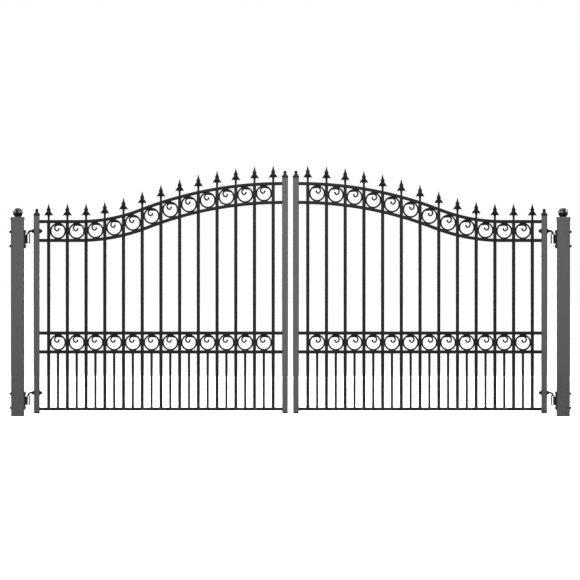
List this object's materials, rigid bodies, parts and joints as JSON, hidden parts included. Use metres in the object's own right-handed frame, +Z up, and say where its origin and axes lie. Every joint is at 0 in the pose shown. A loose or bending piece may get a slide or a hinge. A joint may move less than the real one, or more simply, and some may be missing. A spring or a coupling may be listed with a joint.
{
  "type": "ornamental driveway gate",
  "caption": "Double-leaf steel swing gate with arched top rails, scrolled bands, spear tops and square posts, each leaf on bent-bolt barrel hinges.",
  "frame": {"origin": "on the ground line, midway between the two posts and on the mid-plane of the gate", "axes": "+X along the gate from the left post to the right post, +Z up, -Y towards the outer side, from which the gate is seen"},
  "size_m": [4.3012, 0.1076, 1.9142],
  "materials": {
    "powder_coated_steel": "satin",
    "black_cast_iron": "satin",
    "blackened_fasteners": "satin",
    "zinc_plated_steel": "bright",
    "black_plastic": "matte"
  },
  "bodies": {
    "posts": {"left_hinge_barrels": "zinc_plated_steel", "left_lower_hinge_plate": "powder_coated_steel", "left_plate_bolts": "blackened_fasteners", "left_plate_nuts": "blackened_fasteners", "left_post": "powder_coated_steel", "left_post_ball": "black_cast_iron", "left_post_cap": "powder_coated_steel", "left_upper_hinge_plate": "powder_coated_steel", "right_hinge_barrels": "zinc_plated_steel", "right_lower_hinge_plate": "powder_coated_steel", "right_plate_bolts": "blackened_fasteners", "right_plate_nuts": "blackened_fasteners", "right_post": "powder_coated_steel", "right_post_ball": "black_cast_iron", "right_post_cap": "powder_coated_steel", "right_upper_hinge_plate": "powder_coated_steel"},
    "left_leaf": {"left_band_lower_rail": "powder_coated_steel", "left_band_pickets": "powder_coated_steel", "left_band_scrolls": "black_cast_iron", "left_band_upper_rail": "powder_coated_steel", "left_bottom_rail": "powder_coated_steel", "left_dog_bars": "powder_coated_steel", "left_hinge_bolt_nuts": "blackened_fasteners", "left_hinge_stile": "powder_coated_steel", "left_hinge_stile_cap": "black_cast_iron", "left_lower_hinge_bolt": "blackened_fasteners", "left_lower_pickets": "powder_coated_steel", "left_main_pickets": "powder_coated_steel", "left_meeting_stile": "powder_coated_steel", "left_meeting_stile_cap": "black_cast_iron", "left_second_rail": "powder_coated_steel", "left_spears": "black_cast_iron", "left_stile_plugs": "black_plastic", "left_top_band_pickets": "powder_coated_steel", "left_top_rail": "powder_coated_steel", "left_top_scrolls": "black_cast_iron", "left_upper_hinge_bolt": "blackened_fasteners"},
    "right_leaf": {"right_band_lower_rail": "powder_coated_steel", "right_band_pickets": "powder_coated_steel", "right_band_scrolls": "black_cast_iron", "right_band_upper_rail": "powder_coated_steel", "right_bottom_rail": "powder_coated_steel", "right_dog_bars": "powder_coated_steel", "right_hinge_bolt_nuts": "blackened_fasteners", "right_hinge_stile": "powder_coated_steel", "right_hinge_stile_cap": "black_cast_iron", "right_lower_hinge_bolt": "blackened_fasteners", "right_lower_pickets": "powder_coated_steel", "right_main_pickets": "powder_coated_steel", "right_meeting_stile": "powder_coated_steel", "right_meeting_stile_cap": "black_cast_iron", "right_second_rail": "powder_coated_steel", "right_spears": "black_cast_iron", "right_stile_plugs": "black_plastic", "right_top_band_pickets": "powder_coated_steel", "right_top_rail": "powder_coated_steel", "right_top_scrolls": "black_cast_iron", "right_upper_hinge_bolt": "blackened_fasteners"}
  },
  "joints": [
    {"name": "left_leaf_swing", "type": "hinge", "parent": "posts", "child": "left_leaf", "pos_m": [-2.004, 0, 0], "axis": [0, 0, 1], "range_deg": [-90, 90]},
    {"name": "right_leaf_swing", "type": "hinge", "parent": "posts", "child": "right_leaf", "pos_m": [2.004, 0, 0], "axis": [0, 0, 1], "range_deg": [-90, 90]}
  ]
}
